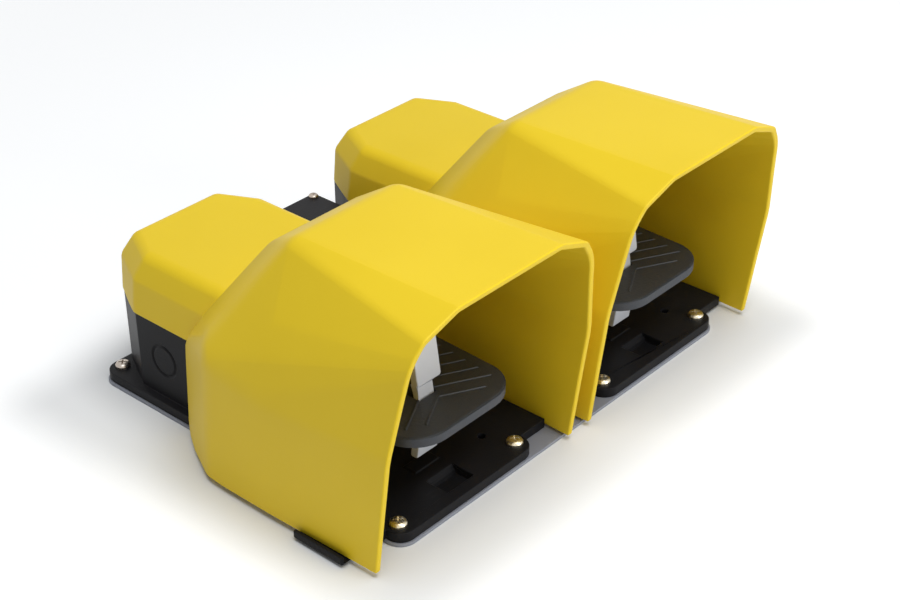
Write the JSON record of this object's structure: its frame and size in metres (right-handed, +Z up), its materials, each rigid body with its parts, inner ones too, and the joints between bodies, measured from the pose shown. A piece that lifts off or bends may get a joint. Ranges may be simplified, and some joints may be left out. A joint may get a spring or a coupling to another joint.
{
  "type": "double foot switch",
  "caption": "Guarded foot switch pair: hooded tread pedals with safety latches, rear switch housings and a low junction box on one flat steel plate.",
  "frame": {"origin": "middle of the footprint, on the floor under the steel plate", "axes": "+X to the right across both units, +Y towards the rear with the hood openings facing -Y, +Z up"},
  "size_m": [0.3398, 0.2644, 0.1494],
  "materials": {
    "yellow_shell": "fine sparked texture, slight sheen",
    "black_body": "fine sparked texture, slight sheen",
    "tread": "grained",
    "latch_grey": "smooth",
    "plate_steel": "light grey powder coat",
    "bright_steel": "turned, bright zinc",
    "spring_steel": "drawn wire",
    "yellow_zinc": "yellow chromate over zinc",
    "bronzed_zinc": "darker chromate over zinc",
    "gasket_rubber": "smooth",
    "contact_plastic": "moulded",
    "cream_plastic": "moulded",
    "terminal_brass": "turned",
    "plated_brass": "nickel on brass"
  },
  "bodies": {
    "frame": {"mounting_plate": "plate_steel", "left_base": "black_body", "right_base": "black_body", "left_hood": "yellow_shell", "right_hood": "yellow_shell", "left_rear_cover": "yellow_shell", "right_rear_cover": "yellow_shell", "left_cover_gasket": "gasket_rubber", "right_cover_gasket": "gasket_rubber", "left_pivot_pin": "bright_steel", "right_pivot_pin": "bright_steel", "left_return_spring": "spring_steel", "right_return_spring": "spring_steel", "left_contact_block": "contact_plastic", "right_contact_block": "contact_plastic", "pivot_clips": "bright_steel", "front_screws": "yellow_zinc", "rear_screws": "bronzed_zinc", "hood_screws": "bright_steel", "cover_screws": "bright_steel", "block_screws": "bright_steel", "junction_box": "black_body", "junction_lid": "black_body", "junction_gasket": "gasket_rubber", "lid_screws": "bronzed_zinc", "box_screws": "bright_steel", "terminal_strip": "cream_plastic", "terminal_screws": "terminal_brass", "link_bushes": "plated_brass", "link_nuts": "plated_brass"},
    "left_pedal": {"left_pedal": "tread", "left_latch_pin": "bright_steel", "left_latch_spring": "spring_steel"},
    "left_latch": {"left_latch": "latch_grey"},
    "left_plunger": {"left_plunger": "cream_plastic"},
    "right_pedal": {"right_pedal": "tread", "right_latch_pin": "bright_steel", "right_latch_spring": "spring_steel"},
    "right_latch": {"right_latch": "latch_grey"},
    "right_plunger": {"right_plunger": "cream_plastic"}
  },
  "joints": [
    {"name": "left_pedal_hinge", "type": "hinge", "parent": "frame", "child": "left_pedal", "pos_m": [-0.08575, 0.00925, 0.044], "axis": [1, 0, 0], "range_deg": [0, 7], "stiffness_Nm_per_rad": 3, "springref_deg": -17.19, "deforming": ["left_return_spring"]},
    {"name": "left_latch_hinge", "type": "hinge", "parent": "left_pedal", "child": "left_latch", "pos_m": [-0.08575, -0.077, 0.049], "axis": [1, 0, 0], "range_deg": [-35, 0], "stiffness_Nm_per_rad": 0.05, "springref_deg": 14.32, "deforming": ["left_latch_spring"]},
    {"name": "left_plunger_slide", "type": "slide", "parent": "frame", "child": "left_plunger", "axis": [0, 0, 1], "range_m": [0, 0.0045], "stiffness_N_per_m": 600, "springref_m": -0.003},
    {"name": "right_pedal_hinge", "type": "hinge", "parent": "frame", "child": "right_pedal", "pos_m": [0.08575, 0.00925, 0.044], "axis": [1, 0, 0], "range_deg": [0, 7], "stiffness_Nm_per_rad": 3, "springref_deg": -17.19, "deforming": ["right_return_spring"]},
    {"name": "right_latch_hinge", "type": "hinge", "parent": "right_pedal", "child": "right_latch", "pos_m": [0.08575, -0.077, 0.049], "axis": [1, 0, 0], "range_deg": [-35, 0], "stiffness_Nm_per_rad": 0.05, "springref_deg": 14.32, "deforming": ["right_latch_spring"]},
    {"name": "right_plunger_slide", "type": "slide", "parent": "frame", "child": "right_plunger", "axis": [0, 0, 1], "range_m": [0, 0.0045], "stiffness_N_per_m": 600, "springref_m": -0.003}
  ],
  "couplings": [
    {"joint": "left_latch_hinge", "follows": "left_pedal_hinge", "ratio": -5},
    {"joint": "left_plunger_slide", "follows": "left_pedal_hinge", "m_per_rad": 0.0354},
    {"joint": "right_latch_hinge", "follows": "right_pedal_hinge", "ratio": -5},
    {"joint": "right_plunger_slide", "follows": "right_pedal_hinge", "m_per_rad": 0.0354}
  ]
}
